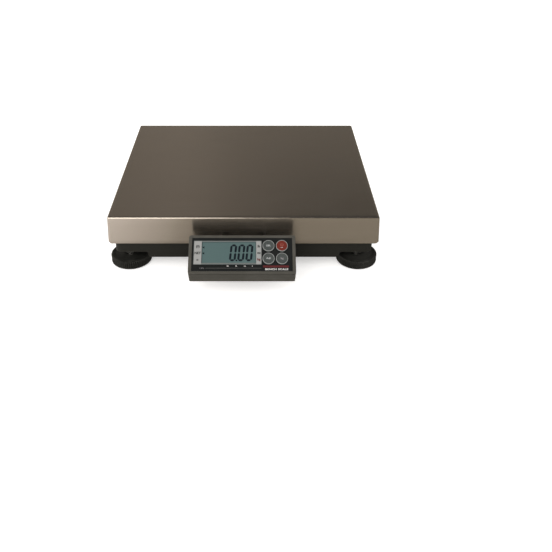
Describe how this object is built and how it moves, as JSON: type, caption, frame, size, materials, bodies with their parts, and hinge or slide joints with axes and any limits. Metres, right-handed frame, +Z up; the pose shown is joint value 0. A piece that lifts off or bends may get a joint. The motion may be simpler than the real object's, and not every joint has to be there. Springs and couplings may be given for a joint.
{
  "type": "platform shipping scale",
  "caption": "Low bench shipping scale: flat stainless platter on a black base with screw feet and a tilting digital display head in front.",
  "frame": {"origin": "on the surface that the scale stands on, under the middle of the whole outline, display head included", "axes": "+X to the operator's right, -Y towards the operator and the display, +Z up"},
  "size_m": [0.3642, 0.3778, 0.079],
  "materials": {
    "stainless": "satin, brushed along X",
    "frame_black": "satin black powder coat",
    "zinc_steel": "bright zinc plate",
    "black_rubber": "matt",
    "brass": "machined",
    "cell_aluminium": "milled",
    "clear_plastic_rim": "gloss",
    "vial_liquid": "gloss",
    "circuit_board": "solder mask",
    "component_black": "moulded",
    "cable_jacket": "matt",
    "head_plastic": "fine moulded texture",
    "overlay_film": "printed film, semi-gloss",
    "label_white": "printed, satin",
    "lcd_panel": "reflective liquid-crystal panel",
    "key_grey": "moulded, satin",
    "key_red": "moulded, satin",
    "wheel_plastic": "moulded, matt"
  },
  "bodies": {
    "base": {"base_frame": "frame_black", "foot_inserts": "brass", "foot_lock_nuts": "zinc_steel", "overload_stop_screws": "zinc_steel", "overload_stop_nuts": "zinc_steel", "level_vial_body": "clear_plastic_rim", "level_vial_glass": "vial_liquid", "load_cell": "cell_aluminium", "load_cell_fixed_spacer": "cell_aluminium", "load_cell_fixed_bolts": "zinc_steel", "converter_board": "circuit_board", "board_standoffs": "brass", "board_screws": "zinc_steel", "board_parts": "component_black", "power_inlet": "component_black", "data_socket": "component_black", "cell_cable": "cable_jacket", "display_arm": "frame_black", "arm_screws": "zinc_steel", "arm_nuts": "zinc_steel", "tilt_bolts": "zinc_steel", "tilt_washers": "component_black"},
    "top_frame": {"top_frame": "frame_black", "load_cell_top_spacer": "cell_aluminium", "load_cell_top_bolts": "zinc_steel", "platter_bumpers": "black_rubber"},
    "platter": {"platter": "stainless"},
    "display_head": {"head_front_shell": "head_plastic", "head_rear_cover": "head_plastic", "face_overlay": "overlay_film", "lcd_bezel": "label_white", "lcd_glass": "lcd_panel", "lcd_backlight": "component_black", "display_board": "circuit_board", "key_switches": "component_black", "head_screws": "zinc_steel"},
    "key_zero": {"key_zero": "key_grey"},
    "key_power": {"key_power": "key_red"},
    "key_tare": {"key_tare": "key_grey"},
    "key_units": {"key_units": "key_grey"},
    "foot_pad_front_left": {"foot_pad_front_left": "black_rubber"},
    "foot_wheel_front_left": {"foot_wheel_front_left": "wheel_plastic", "foot_stud_front_left": "zinc_steel"},
    "foot_pad_front_right": {"foot_pad_front_right": "black_rubber"},
    "foot_wheel_front_right": {"foot_wheel_front_right": "wheel_plastic", "foot_stud_front_right": "zinc_steel"},
    "foot_pad_rear_left": {"foot_pad_rear_left": "black_rubber"},
    "foot_wheel_rear_left": {"foot_wheel_rear_left": "wheel_plastic", "foot_stud_rear_left": "zinc_steel"},
    "foot_pad_rear_right": {"foot_pad_rear_right": "black_rubber"},
    "foot_wheel_rear_right": {"foot_wheel_rear_right": "wheel_plastic", "foot_stud_rear_right": "zinc_steel"}
  },
  "joints": [
    {"name": "weighing_deflection", "type": "slide", "parent": "base", "child": "top_frame", "axis": [0, 0, 1], "range_m": [-0.0005, 0], "stiffness_N_per_m": 1200000, "springref_m": 0.00005, "deforming": ["load_cell"]},
    {"name": "platter_lift", "type": "slide", "parent": "top_frame", "child": "platter", "axis": [0, 0, 1], "range_m": [0, 0.08]},
    {"name": "display_tilt", "type": "hinge", "parent": "base", "child": "display_head", "pos_m": [0, -0.156, 0.0323], "axis": [1, 0, 0], "range_deg": [-10, 20]},
    {"name": "key_zero_press", "type": "slide", "parent": "display_head", "child": "key_zero", "axis": [0, 0.5807, -0.8141], "range_m": [0, 0.0006], "stiffness_N_per_m": 2500, "springref_m": -0.0001},
    {"name": "key_power_press", "type": "slide", "parent": "display_head", "child": "key_power", "axis": [0, 0.5807, -0.8141], "range_m": [0, 0.0006], "stiffness_N_per_m": 2500, "springref_m": -0.0001},
    {"name": "key_tare_press", "type": "slide", "parent": "display_head", "child": "key_tare", "axis": [0, 0.5807, -0.8141], "range_m": [0, 0.0006], "stiffness_N_per_m": 2500, "springref_m": -0.0001},
    {"name": "key_units_press", "type": "slide", "parent": "display_head", "child": "key_units", "axis": [0, 0.5807, -0.8141], "range_m": [0, 0.0006], "stiffness_N_per_m": 2500, "springref_m": -0.0001},
    {"name": "foot_rise_front_left", "type": "slide", "parent": "base", "child": "foot_pad_front_left", "axis": [0, 0, -1], "range_m": [-0.00075, 0.0075]},
    {"name": "foot_turn_front_left", "type": "hinge", "parent": "foot_pad_front_left", "child": "foot_wheel_front_left", "pos_m": [-0.1546, -0.1024, 0], "axis": [0, 0, -1], "range_deg": [-180, 1800]},
    {"name": "foot_rise_front_right", "type": "slide", "parent": "base", "child": "foot_pad_front_right", "axis": [0, 0, -1], "range_m": [-0.00075, 0.0075]},
    {"name": "foot_turn_front_right", "type": "hinge", "parent": "foot_pad_front_right", "child": "foot_wheel_front_right", "pos_m": [0.1546, -0.1024, 0], "axis": [0, 0, -1], "range_deg": [-180, 1800]},
    {"name": "foot_rise_rear_left", "type": "slide", "parent": "base", "child": "foot_pad_rear_left", "axis": [0, 0, -1], "range_m": [-0.00075, 0.0075]},
    {"name": "foot_turn_rear_left", "type": "hinge", "parent": "foot_pad_rear_left", "child": "foot_wheel_rear_left", "pos_m": [-0.1546, 0.1614, 0], "axis": [0, 0, -1], "range_deg": [-180, 1800]},
    {"name": "foot_rise_rear_right", "type": "slide", "parent": "base", "child": "foot_pad_rear_right", "axis": [0, 0, -1], "range_m": [-0.00075, 0.0075]},
    {"name": "foot_turn_rear_right", "type": "hinge", "parent": "foot_pad_rear_right", "child": "foot_wheel_rear_right", "pos_m": [0.1546, 0.1614, 0], "axis": [0, 0, -1], "range_deg": [-180, 1800]}
  ],
  "couplings": [
    {"joint": "foot_rise_front_left", "follows": "foot_turn_front_left", "m_per_rad": 0.00023873},
    {"joint": "foot_rise_front_right", "follows": "foot_turn_front_right", "m_per_rad": 0.00023873},
    {"joint": "foot_rise_rear_left", "follows": "foot_turn_rear_left", "m_per_rad": 0.00023873},
    {"joint": "foot_rise_rear_right", "follows": "foot_turn_rear_right", "m_per_rad": 0.00023873}
  ]
}
